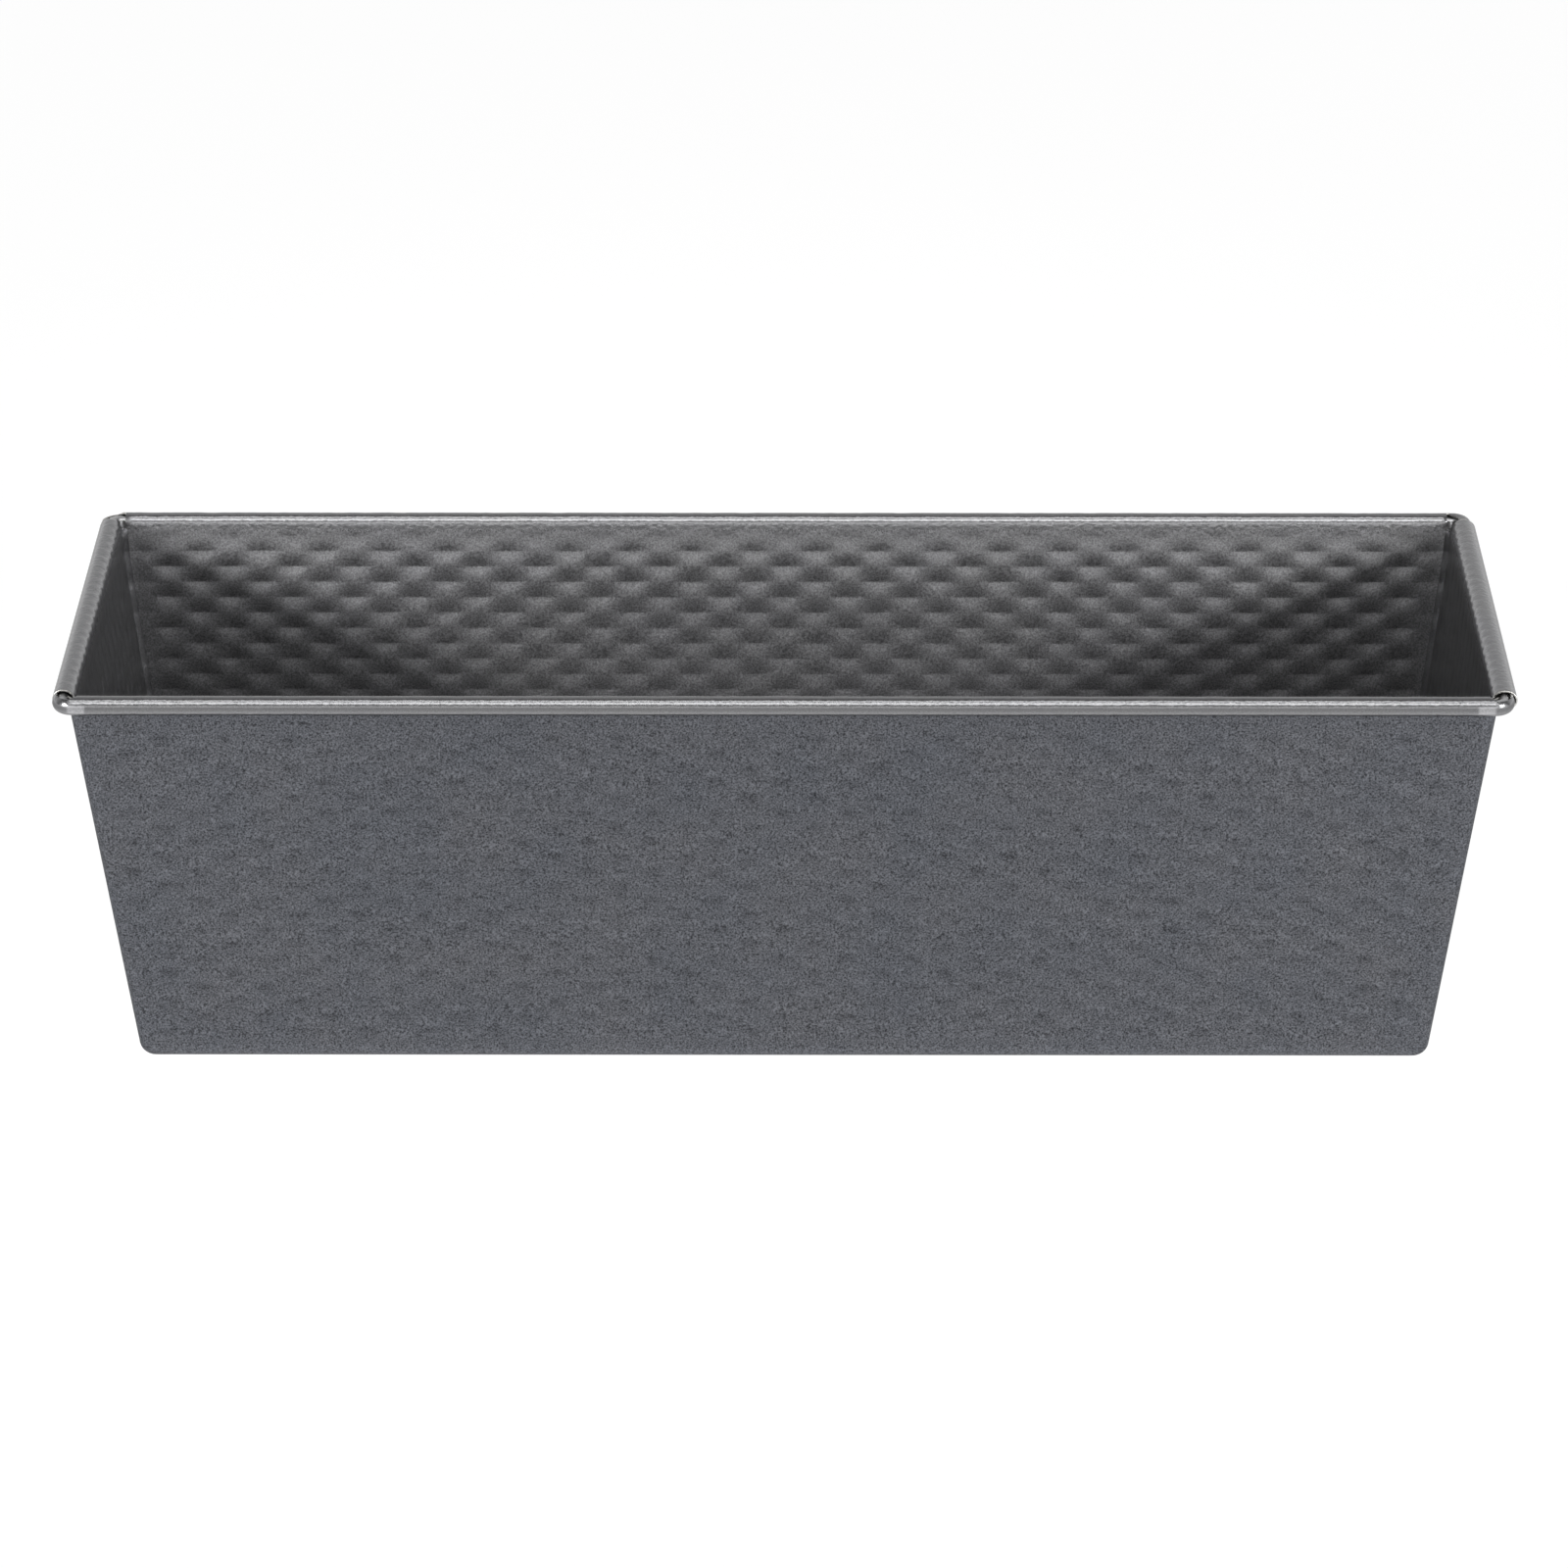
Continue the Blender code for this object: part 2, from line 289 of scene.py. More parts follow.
def roll_angles(slope, radius, room):
    """Angles round a roll, from the wall over the top to its lower edge, counted up from straight out.

    The lower edge comes back towards the wall until it is `room` away from the wall's inside face.
    """
    wall = math.pi - math.atan(slope)
    edge = wall - 2 * math.pi + math.acos((radius - room) / radius)
    back = np.linspace(wall, QUARTER_TURN, BACK_STEPS + 1)
    return np.concatenate([back, np.linspace(QUARTER_TURN, edge, ROLL_STEPS + 1)[1:]])


def bead_painted_shading(angles):
    """How dark the painted shade along a bead is at those angles; below 0 it is painted light."""
    return np.interp(np.degrees(angles), *zip(*BEAD_PAINTED_SHADING))


side_angles = roll_angles(SIDE_SLOPE, SIDE_RADIUS, SHEET + CLEARANCE)
side_tangent_z = SIDE_CENTRE_Z + SIDE_RADIUS * math.sin(side_angles[0])
bead_end = on_slope(TROUGH_END, END_SLOPE, side_tangent_z) - CORNER_BEND
print(f"each bead is {2 * SIDE_RADIUS / MM:.1f} mm thick and {2 * bead_end / MM:.1f} mm long without its elbows")


def wall_patch(sign_y, crease):
    """A whole long wall with its bead, from the edge of the flat base to the bead's lower edge."""
    t = spread(WALL_COLUMNS)
    above = np.linspace(FLAP_TOP, side_tangent_z, 4)[1:-1]
    z = np.concatenate([[SHEET], levels, above])[:, None]
    y = np.concatenate([[flat_width[0]], half_width, on_slope(TROUGH_SIDE, SIDE_SLOPE, above)])[:, None]
    flat = np.concatenate([[flat_length[0]], flat_length, on_slope(TROUGH_END, END_SLOPE, above) - CORNER_BEND])
    x = t * flat[:, None]

    down = down_sheet(z, SIDE_SLOPE)
    shown = fade(down, *BEAD_MARGIN) * fade(z, *FOOT_MARGIN)
    shown = shown * fade(flat[:, None] - np.abs(x), *WALL_MARGIN)
    height = relief(x + COLUMN_SHIFT, down - crease)
    uneven = 1.0 + DEPTH_WANDER * unevenness(0.6 * x + 1.3 * down, 5.0)
    varied_share = PAINTED_CREASE_SHADE + PAINTED_CREASE_WANDER * unevenness(down - 0.35 * x, 2.0)
    out = PIT_DEPTH * uneven * (0.5 - height) * shown
    y = y + out / lean(SIDE_SLOPE)
    z = z - out * SIDE_SLOPE / lean(SIDE_SLOPE)
    rolled = fade(down, *ROLLED_MARGIN)
    # painted shade in the creases, painted highlight on the rolled top and painted reflection on the bend at the base
    painted_light_and_shade = near_crease(height, shown * varied_share) - ROLLED_PAINTED_LIGHT * rolled - FOOT_PAINTED_LIGHT * fade(z, *FOOT_HEIGHTS)

    angles = side_angles[:, None]
    bead_x = t * bead_end
    loose = BEAD_WANDER * unevenness(bead_x, 3.1 * sign_y) * fade(bead_end - np.abs(bead_x), 0.0, BEAD_EVEN_END)
    upper = fade(angles, side_angles[-1], QUARTER_TURN) * fade(angles, side_angles[0], BEAD_EVEN_BACK)
    radius = SIDE_RADIUS - np.abs(loose) * upper
    y_bead, z_bead = SIDE_CENTRE + radius * np.cos(angles), SIDE_CENTRE_Z + radius * np.sin(angles)
    bead = patch(bead_x, y_bead, z_bead, 1.0, 1, sign_y, bead_painted_shading(angles))
    return np.concatenate([patch(x, y, z, rolled, 1, sign_y, painted_light_and_shade), bead])


# %% [markdown]
# Corners and ends of the trough. Each upright corner is a tight bend that closes to a point at the base. From
# it a flap runs across the end, outside the panel, and a low lip joins the two flaps. The whole end is drawn
# first and the opening between the flaps is cut out afterwards, as it would be in the flat blank. Each corner
# goes on above its flaps as a narrow tongue, whose coat is painted dark as shade.

# %% Corners and ends
def corner_patch(sign_x, sign_y):
    """One upright corner, from its point at the base to the tongue between the bead's end and the roll."""
    turn = np.linspace(0.0, QUARTER_TURN, CORNER_COLUMNS + 1)
    above = np.append(np.linspace(FLAP_TOP, side_tangent_z, 4)[1:], CORNER_TOP)
    radius = np.concatenate([[0.0], corner_radius, np.full(4, CORNER_BEND)])[:, None]
    length = np.concatenate([[flat_length[0]], half_length, on_slope(TROUGH_END, END_SLOPE, above)])[:, None]
    width = np.concatenate([[flat_width[0]], half_width, on_slope(TROUGH_SIDE, SIDE_SLOPE, above)])[:, None]
    z = np.concatenate([[SHEET], levels, above])[:, None]
    x = length - radius * (1.0 - np.sin(turn))
    y = width - radius * (1.0 - np.cos(turn))
    # the tongue above the flaps gets painted shade
    return patch(x, y, z, 0.0, sign_x, sign_y, painted_shade=z > levels[-1])


def end_patch(sign_x):
    """One whole end of the trough. Its pattern only stands outward, clear of the panel lapped inside it."""
    z = np.concatenate([[SHEET], levels])[:, None]
    x = np.concatenate([[flat_length[0]], half_length])[:, None]
    flat = np.concatenate([[flat_width[0]], flat_width])[:, None]
    y = -spread(END_COLUMNS) * flat
    shown = fade(z, *FOOT_MARGIN) * fade(flat - np.abs(y), *END_MARGIN)
    height = relief(down_sheet(z, END_SLOPE), y)
    out = PIT_DEPTH * (1.0 - height) * shown
    x = x + out / lean(END_SLOPE)
    z = z - out * END_SLOPE / lean(END_SLOPE)
    return patch(x, y, z, 0.0, sign_x, 1, near_crease(height, shown))


# %% [markdown]
# Elbows. Past the notch over each corner only the outer part of the bead goes on. It is bent round the
# corner as an open hook and ends at the mouth of the end's roll. Its upper edge leaves the top of the bead
# quickly. At three corners it drops towards the middle of the bead, so one looks down past it at the wire. At
# the right back corner it goes on over the top and closes over the wire.

# %% Elbows of the beads
HOOK_DROP = 1.6 * MM  # length over which the edge leaves the top of the bead
# for each corner, degrees up from straight out of that edge, after the drop and at the roll's mouth
HOOK_EDGES = {(1, -1): (44, 50), (-1, -1): (58, 54), (-1, 1): (34, 26), (1, 1): (120, 118)}
mouth = on_slope(TROUGH_SIDE, SIDE_SLOPE, END_CENTRE_Z) - CORNER_BEND
print(f"the rolls of the ends are {2 * mouth / MM:.1f} mm long from mouth to mouth")


def elbow_patch(sign_x, sign_y):
    """The open hook of one corner, from the notch in the bead to the mouth of the end's roll."""
    straight = np.linspace(bead_end, END_CENTRE - ELBOW_RADIUS, 5)
    turns = np.linspace(0.0, QUARTER_TURN, 13)[1:]
    x = np.concatenate([straight, END_CENTRE - ELBOW_RADIUS * (1.0 - np.sin(turns)), [END_CENTRE] * 2])
    y = np.concatenate([[SIDE_CENTRE] * 5, SIDE_CENTRE - ELBOW_RADIUS * (1.0 - np.cos(turns))])
    y = np.concatenate([y, np.linspace(y[-1], mouth + CLEARANCE, 3)[1:]])
    turn = np.concatenate([[0.0] * 5, turns, [QUARTER_TURN] * 2])
    along = np.concatenate([[0.0], np.cumsum(np.hypot(np.diff(x), np.diff(y)))])
    start, end = (math.radians(angle) for angle in HOOK_EDGES[sign_x, sign_y])
    edge = start + (end - start) * along / along[-1]
    first = QUARTER_TURN + (edge - QUARTER_TURN) * fade(along, 0.0, HOOK_DROP)
    share = (side_angles[BACK_STEPS:] - QUARTER_TURN) / (side_angles[-1] - QUARTER_TURN)
    angle = first + (side_angles[-1] - first) * share[:, None]
    out = SIDE_RADIUS * np.cos(angle)
    z = SIDE_CENTRE_Z + SIDE_RADIUS * np.sin(angle)
    return patch(x + out * np.sin(turn), y + out * np.cos(turn), z, 1.0, sign_x, sign_y, bead_painted_shading(angle))


# %% [markdown]
# From patches to sheet metal. The patches are laid down side by side and their shared edges welded. The
# Solidify modifier then adds the thickness on the outside. It closes the cut edges with a material of their
# own, because a shear cuts through the coat and leaves bare steel, and the Bevel modifier blunts them a
# little. The result is made permanent, and edges that still turn more than 35 degrees are marked sharp.

# %% Sewing and thickening
WELD = 0.001 * MM  # points nearer to each other than this are one point
BLUNTING = 0.12 * MM
CUT_ANGLE = math.radians(60)  # an edge that turns more than this was cut, not bent
CRISP_ANGLE = math.radians(35)
FLAP_SPACE = 27.0 * MM  # between the two flaps of an end, at their tops
FLAP_FOOT = 3.0 * MM  # width of a flap where it rises from the lip
END_ZONE = 130 * MM  # the ends lie further from the middle than this


def sewn(patches):
    """One bmesh of all the patches, welded along the edges they share."""
    points = np.concatenate([grid.reshape(-1, 6) for grid in patches])
    faces, first = [], 0
    for grid in patches:
        rows, columns = grid.shape[:2]
        start = first + (np.arange(rows - 1)[:, None] * columns + np.arange(columns - 1)).ravel()
        faces.append(np.stack([start, start + 1, start + columns + 1, start + columns], axis=1))
        first += rows * columns
    mesh = bpy.data.meshes.new("patches")
    mesh.from_pydata(points[:, :3], [], np.concatenate(faces))
    for column, name in enumerate(("rolled", "painted_light_and_shade", "painted_shade"), start=3):
        shares = mesh.attributes.new(name, "FLOAT", "POINT")
        shares.data.foreach_set("value", points[:, column].astype(np.float32))
    bm = bmesh.new()
    bm.from_mesh(mesh)
    bpy.data.meshes.remove(mesh)
    bmesh.ops.remove_doubles(bm, verts=bm.verts, dist=WELD)
    return bm


def sheet_piece(name, bm):
    """An object of that surface with the sheet's thickness, coated on both faces and bare on its edges."""
    mesh = bpy.data.meshes.new(name)
    bm.to_mesh(mesh)
    bm.free()
    for finish in (inside_coat, outside_coat, cut_edge):
        mesh.materials.append(finish)
    piece = bpy.data.objects.new(name, mesh)
    bpy.context.scene.collection.objects.link(piece)
    thickness = piece.modifiers.new("sheet_thickness", "SOLIDIFY")
    thickness.thickness = SHEET
    thickness.offset = -1.0
    thickness.use_even_offset = True
    thickness.material_offset = 1
    thickness.material_offset_rim = 2
    rounding = piece.modifiers.new("blunted_edges", "BEVEL")
    rounding.width = BLUNTING
    rounding.segments = 2
    rounding.limit_method = "ANGLE"
    rounding.angle_limit = CUT_ANGLE
    rounding.material = 2
    bpy.context.view_layer.update()
    solid = bpy.data.meshes.new_from_object(piece.evaluated_get(bpy.context.evaluated_depsgraph_get()))
    piece.modifiers.clear()
    piece.data = solid
    bpy.data.meshes.remove(mesh)
    solid.name = name
    solid.shade_smooth()
    solid.set_sharp_from_angle(angle=CRISP_ANGLE)
    print(f"{name}: {len(solid.polygons)} faces")
    return piece


def cut_opening(bm, sign_x):
    """Cuts the opening between the two flaps out of one end of the trough, down to the lip."""
    foot = on_slope(TROUGH_SIDE, SIDE_SLOPE, LIP_TOP) - CORNER_BEND - FLAP_FOOT

    def in_end(face):
        middle = face.calc_center_median()
        inner = on_slope(TROUGH_SIDE, SIDE_SLOPE, middle.z) - CORNER_BEND
        return middle.x * sign_x > END_ZONE and LIP_TOP < middle.z < FLAP_TOP and abs(middle.y) < inner

    for sign_y in (1, -1):
        low = Vector((on_slope(TROUGH_END, END_SLOPE, LIP_TOP) * sign_x, foot * sign_y, LIP_TOP))
        high = Vector((on_slope(TROUGH_END, END_SLOPE, FLAP_TOP) * sign_x, FLAP_SPACE / 2 * sign_y, FLAP_TOP))
        normal = (high - low).cross(Vector((1, 0, 0)))
        faces = [face for face in bm.faces if in_end(face)]
        edges = {edge for face in faces for edge in face.edges}
        verts = {vert for face in faces for vert in face.verts}
        geometry = faces + list(edges) + list(verts)
        bmesh.ops.bisect_plane(bm, geom=geometry, dist=WELD, plane_co=low, plane_no=normal)

    def between_flaps(face):
        middle = face.calc_center_median()
        share = (middle.z - LIP_TOP) / (FLAP_TOP - LIP_TOP)
        return in_end(face) and abs(middle.y) < foot + (FLAP_SPACE / 2 - foot) * share

    bmesh.ops.delete(bm, geom=[face for face in bm.faces if between_flaps(face)], context="FACES")


# %% [markdown]
# One helper for materials. It adds a node, sets what it is given and links what is a socket, so that a
# material reads as a short list of nodes. Colours are written as on a screen, in sRGB hex, and turned to the
# linear values that the renderer works with.

# %% Helpers for materials
def linear(hex_colour):
    """An sRGB hex colour as linear RGBA."""
    channels = [int(hex_colour[i : i + 2], 16) / 255 for i in (1, 3, 5)]
    return (*[c / 12.92 if c <= 0.04045 else ((c + 0.055) / 1.055) ** 2.4 for c in channels], 1.0)


def add_node(tree, kind, inputs=None, **settings):
    """A new node with those settings. Each input is a socket to link or a value to set."""
    node = tree.nodes.new(kind)
    for name, value in settings.items():
        setattr(node, name, value)
    for name, value in (inputs or {}).items():
        if isinstance(value, bpy.types.NodeSocket):
            tree.links.new(value, node.inputs[name])
        else:
            node.inputs[name].default_value = value
    return node


def new_material(name):
    """An empty material, its node tree and the object's own coordinates in metres."""
    material = bpy.data.materials.new(name)
    material.use_nodes = True
    tree = material.node_tree
    tree.nodes.clear()
    place = add_node(tree, "ShaderNodeTexCoord").outputs["Object"]
    return material, tree, place


def cover(tree, shader):
    """Makes that shader the surface of the material."""
    add_node(tree, "ShaderNodeOutputMaterial", {"Surface": shader.outputs["BSDF"]})


# %% [markdown]
# Non-stick coat with metallic flakes, sprayed on both faces of the flat sheet and cured. Half paint and half
# metal to the eye: the flakes lie flat in the coat and mirror softly, and the resin between them scatters.
# The outside has a coarse, bluish, speckled coat. The inside, which also shows on the beads because they are
# rolled outward, has a lighter, finer and silkier one, and the rolling tool has pressed it smoother still.
#
# Both coats are one function. The grain is noise. Real flakes are a few hundredths of a millimetre across and
# wouldn't show, so the grain is drawn coarser, at 0.38 mm. The mottle is a slow change over centimetres, and a
# fine bump keeps the reflections from being clean. Painted shade darkens the coat in the creases, in the
# corners and on the end panels, and painted light brightens the rolled tops of the walls, the bends at the base
# and bands along the beads. The coat is lighter on the small spots by the corners where the finished bead was
# pinched tight.

# %% Non-stick coats
GRAIN = 0.38 * MM
ROLLED_GRAIN = 0.3  # share of the grain's contrast that rolling leaves
MOTTLE = 16.0 * MM
ORANGE_PEEL = 1.1 * MM  # the size of the fine bump, which rolling brings out
PEEL_HEIGHT = 0.1 * MM
PEEL_STRENGTH, ROLLED_PEEL = 0.15, 0.8
FLAKE_SHARE = 0.92  # how much of the coat is metal to the eye
PINCH_LIGHT = 0.8  # on the spots where the beads were pinched the coat is that much lighter
PINCH_SHIFT = 0.4 * MM  # the spots lie that much left of where they would mirror each other
PINCH_FADE = 0.8 * MM
# distance from the middle or the floor, and half the size of the spots
PINCHES = (("X", 147.6 * MM, 2.2 * MM), ("Y", 62.0 * MM, 3.2 * MM), ("Z", 85.1 * MM, 1.3 * MM))
GRAZING_TINT = 0.65  # the resin over the flakes keeps the coat from brightening at a glancing view


def spread_of(tree, value, low, high):
    """The middle of a noise's range, stretched to run from low to high."""
    ends = {"Value": value, "From Min": 0.3, "From Max": 0.7, "To Min": low, "To Max": high}
    return add_node(tree, "ShaderNodeMapRange", ends).outputs["Result"]


def noise_of(tree, place, size, detail):
    """Noise whose largest grains have that size."""
    return add_node(tree, "ShaderNodeTexNoise", {"Vector": place, "Scale": 1 / size, "Detail": detail}).outputs["Fac"]


def pinched(tree, place):
    """1 on the small spots near the corners where a tool pinched the beads, 0 elsewhere."""
    moved = add_node(tree, "ShaderNodeVectorMath", {0: place, 1: (PINCH_SHIFT, 0, 0)}, operation="ADD").outputs[0]
    along = add_node(tree, "ShaderNodeSeparateXYZ", {0: moved}).outputs
    inside = 1.0
    for axis, middle, half in PINCHES:
        outward = add_node(tree, "ShaderNodeMath", {0: along[axis]}, operation="ABSOLUTE").outputs[0]
        beside = add_node(tree, "ShaderNodeMath", {0: outward, 1: middle}, operation="SUBTRACT").outputs[0]
        away = add_node(tree, "ShaderNodeMath", {0: beside}, operation="ABSOLUTE").outputs[0]
        ends = {"Value": away, "From Min": half, "From Max": half - PINCH_FADE}
        near = add_node(tree, "ShaderNodeMapRange", ends, interpolation_type="SMOOTHSTEP").outputs["Result"]
        inside = add_node(tree, "ShaderNodeMath", {0: near, 1: inside}, operation="MULTIPLY").outputs[0]
    return inside


def nonstick_coat(name, cool, warm, grain_share, gloss_range, rolled_gloss, painted_shading_strength, painted_shade_strength):
    """A flaked coat whose colour wanders between two tones, with that much contrast in its grain.

    It takes painted light and shade by `painted_shading_strength` and painted shade by `painted_shade_strength`.
    """
    material, tree, place = new_material(name)
    rolled = add_node(tree, "ShaderNodeAttribute", attribute_name="rolled").outputs["Fac"]
    painted_light_and_shade = add_node(tree, "ShaderNodeAttribute", attribute_name="painted_light_and_shade").outputs["Fac"]
    painted_shade = add_node(tree, "ShaderNodeAttribute", attribute_name="painted_shade").outputs["Fac"]
    grain = noise_of(tree, place, GRAIN, 2.0)
    mottle = noise_of(tree, place, MOTTLE, 3.0)
    tones = {0: spread_of(tree, mottle, 0.0, 1.0), 6: linear(cool), 7: linear(warm)}
    tone = add_node(tree, "ShaderNodeMix", tones, data_type="RGBA").outputs[2]
    varied_share = add_node(tree, "ShaderNodeMix", {0: rolled, 2: grain_share, 3: ROLLED_GRAIN * grain_share}).outputs[0]
    even = spread_of(tree, grain, -1.0, 1.0)
    speckle = add_node(tree, "ShaderNodeMath", {0: even, 1: varied_share, 2: 1.0}, operation="MULTIPLY_ADD").outputs[0]
    light = 1.0
    for where, change in ((painted_shade, -painted_shade_strength), (painted_light_and_shade, -painted_shading_strength), (pinched(tree, place), PINCH_LIGHT)):
        light = add_node(tree, "ShaderNodeMath", {0: where, 1: change, 2: light}, operation="MULTIPLY_ADD").outputs[0]
    light = add_node(tree, "ShaderNodeMath", {0: speckle, 1: light}, operation="MULTIPLY").outputs[0]
    colour = add_node(tree, "ShaderNodeVectorMath", {0: tone, "Scale": light}, operation="SCALE").outputs[0]
    wall_gloss = spread_of(tree, grain, *gloss_range)
    gloss = add_node(tree, "ShaderNodeMix", {0: rolled, 2: wall_gloss, 3: rolled_gloss}).outputs[0]
    peel = noise_of(tree, place, ORANGE_PEEL, 2.0)
    ripple = add_node(tree, "ShaderNodeMix", {0: rolled, 2: PEEL_STRENGTH, 3: ROLLED_PEEL}).outputs[0]
    bump = add_node(tree, "ShaderNodeBump", {"Height": peel, "Strength": ripple, "Distance": PEEL_HEIGHT})
    finish = {"Base Color": colour, "Metallic": FLAKE_SHARE, "Roughness": gloss, "Normal": bump.outputs["Normal"]}
    finish["Specular Tint"] = (GRAZING_TINT, GRAZING_TINT, GRAZING_TINT, 1.0)
    cover(tree, add_node(tree, "ShaderNodeBsdfPrincipled", finish))
    return material


inside_coat = nonstick_coat(
    "silky_inside_nonstick_coat", "#7F7F81", "#808081", grain_share=0.36,
    gloss_range=(0.28, 0.36), rolled_gloss=0.24, painted_shading_strength=0.16, painted_shade_strength=0.7,
)
outside_coat = nonstick_coat(
    "speckled_outside_nonstick_coat", "#525459", "#56575B", grain_share=0.7,
    gloss_range=(0.42, 0.49), rolled_gloss=0.3, painted_shading_strength=0.24, painted_shade_strength=0.0,
)

# %% [markdown]
# Bare steel. The shear leaves a bright, finely scored strip at the cut edges, as wide as the sheet is thick.
# The wire is drawn steel with a dull grey skin from the heat of curing. Their real scores are too fine to
# show, so both are drawn coarser.

# %% Cut edges and wire
def bare_steel(name, dark, light, gloss_range, size):
    """Uncoated steel with scores of that size, between two tones and two roughnesses."""
    material, tree, place = new_material(name)
    score = noise_of(tree, place, size, 3.0)
    tones = {0: spread_of(tree, score, 0.0, 1.0), 6: linear(dark), 7: linear(light)}
    colour = add_node(tree, "ShaderNodeMix", tones, data_type="RGBA").outputs[2]
    finish = {"Base Color": colour, "Metallic": 1.0, "Roughness": spread_of(tree, score, *gloss_range)}
    cover(tree, add_node(tree, "ShaderNodeBsdfPrincipled", finish))
    return material


cut_edge = bare_steel("sheared_bare_steel", "#8F8E8B", "#BEBDB9", (0.25, 0.5), 0.5 * MM)
wire_steel = bare_steel("dull_drawn_steel_wire", "#9C9C9E", "#B4B4B5", (0.3, 0.45), 0.8 * MM)
print("materials:", inside_coat.name, outside_coat.name, cut_edge.name, wire_steel.name)

# %% [markdown]
# The trough. All its patches are sewn into one surface, the openings are cut, and the sheet gets its
# thickness. The piece takes the place of the plain trough of the CAD model.

# %% Make the trough
signs = [(1, 1), (1, -1), (-1, -1), (-1, 1)]
trough_sheet = sewn(
    [base_patch(), wall_patch(1, BACK_CREASE), wall_patch(-1, FRONT_CREASE), end_patch(1), end_patch(-1)]
    + [corner_patch(*pair) for pair in signs]
    + [elbow_patch(*pair) for pair in signs]
)
for side in (1, -1):
    cut_opening(trough_sheet, side)
trough = sheet_piece("embossed_trough", trough_sheet)
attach(trough, "root")
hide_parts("trough")

# %% [markdown]
# End panels. A flat panel closes each end inside the flaps and the lip, and its top edge is rolled outward
# over them and over the wire. The sheet is the same embossed one, but here the pattern runs the other way, as
# it does when the blank is cut lengthwise. The pattern is flatter too, and reaches up to the roll. The two
# side edges of the panel are turned inward and close the upright corners. The end walls carry painted shade,
# the right one more than the left, and most of all at those edges down in the corners.

# %% Make the end panels
PANEL_ROWS = 66
PANEL_DEPTH = 0.3 * MM
PANEL_FLATTENED = 0.6  # share of that depth which the rolling took away just below the roll
PANEL_PAINTED_SHADE = {1: 0.6, -1: 0.25}  # painted shade on the panels, darker on the right one than on the left
PANEL_MARGIN = (2.0 * MM, 6.0 * MM)  # distances down the sheet where the depth starts to come back and is full
PANEL_ROLLED = (4.0 * MM, 2.0 * MM)  # and where the rubbing starts and is full
ROLL_BULGE = 0.35 * MM  # the roll's inner side is a little wider than its height
BULGE_MARGIN = (10.0 * MM, 2.5 * MM)  # and the panel follows it over this distance down
ROLL_REACH = {1: 0.6 * MM, -1: 0.0}  # the right roll was left more open than the left one
SCALLOP_PITCH = 4.8 * MM  # the rolling tool left small even steps along the roll
SCALLOP_DEPTH = 0.12 * MM
SCALLOP_END = 3.0 * MM
SCALLOP_TOP = 1.3  # radians, on the inner side of the roll, where the steps fade out
BRIGHT_EDGE = 6.0 * MM  # the cut edges stay bright only that far below the rim, lower down they take the inside coat with painted shade

end_angles = roll_angles(END_SLOPE, END_RADIUS, 2 * SHEET + 2 * CLEARANCE)
end_tangent_z = END_CENTRE_Z + END_RADIUS * math.sin(end_angles[0])


def flat_edge(z):
    """Half the width of the flat face of an end at height z."""
    return on_slope(TROUGH_SIDE, SIDE_SLOPE, z) - CORNER_BEND


def panel_patch(turned):
    """The panel at +X, or the one at -X when `turned` is -1, with its roll."""
    z = np.linspace(BEND_TOP, end_tangent_z, PANEL_ROWS)[:-1, None]
    down = down_sheet(z, END_SLOPE)
    y = -spread(END_COLUMNS)[1:-1] * (flat_edge(z) + PANEL_REACH)
    shown = fade(z, *FOOT_MARGIN) * fade(flat_edge(z) - np.abs(y), *END_MARGIN)
    height = relief(down, y)
    bulge = ROLL_BULGE * fade(down, *BULGE_MARGIN)
    depth = PANEL_DEPTH * (1.0 - PANEL_FLATTENED + PANEL_FLATTENED * fade(down, *PANEL_MARGIN))
    inward = depth * height * shown + bulge
    edge_y = flat_edge(z) + PANEL_REACH + PANEL_EDGE
    edge_inward = bulge + PANEL_EDGE
    y = np.concatenate([edge_y, y, -edge_y], axis=1)
    inward = np.concatenate([edge_inward, inward, edge_inward], axis=1)
    painted_light_and_shade = np.pad(near_crease(height, shown), ((0, 0), (1, 1)))
    # painted shade over the panel, full at its turned edges in the corners
    painted_shade = np.pad(np.full_like(height, PANEL_PAINTED_SHADE[turned]), ((0, 0), (1, 1)), constant_values=1.0)
    x = on_slope(PANEL_FACE, END_SLOPE, z) - inward / lean(END_SLOPE)
    z = z + inward * END_SLOPE / lean(END_SLOPE)
    rolled = fade(down, *PANEL_ROLLED)
    painted_shade = painted_shade * (1.0 - rolled)

    angles = end_angles[:, None]
    roll_y = -spread(END_COLUMNS) * mouth
    inner = fade(angles, SCALLOP_TOP, end_angles[0])
    scallop = SCALLOP_DEPTH * (0.5 + 0.5 * np.cos(2.0 * math.pi * roll_y / SCALLOP_PITCH))
    radius = END_RADIUS + scallop * fade(mouth - np.abs(roll_y), 0.0, SCALLOP_END) * inner
    stretch = ROLL_REACH[turned] * np.clip(np.cos(angles), 0.0, 1.0) - ROLL_BULGE * np.clip(-np.cos(angles), 0.0, 1.0)
    roll = patch(END_CENTRE + radius * np.cos(angles) + stretch, roll_y, END_CENTRE_Z + radius * np.sin(angles), 1.0)
    grid = np.concatenate([patch(x, y, z, rolled, painted_light_and_shade=painted_light_and_shade, painted_shade=painted_shade), roll])
    return grid * (turned, turned, 1, 1, 1, 1)


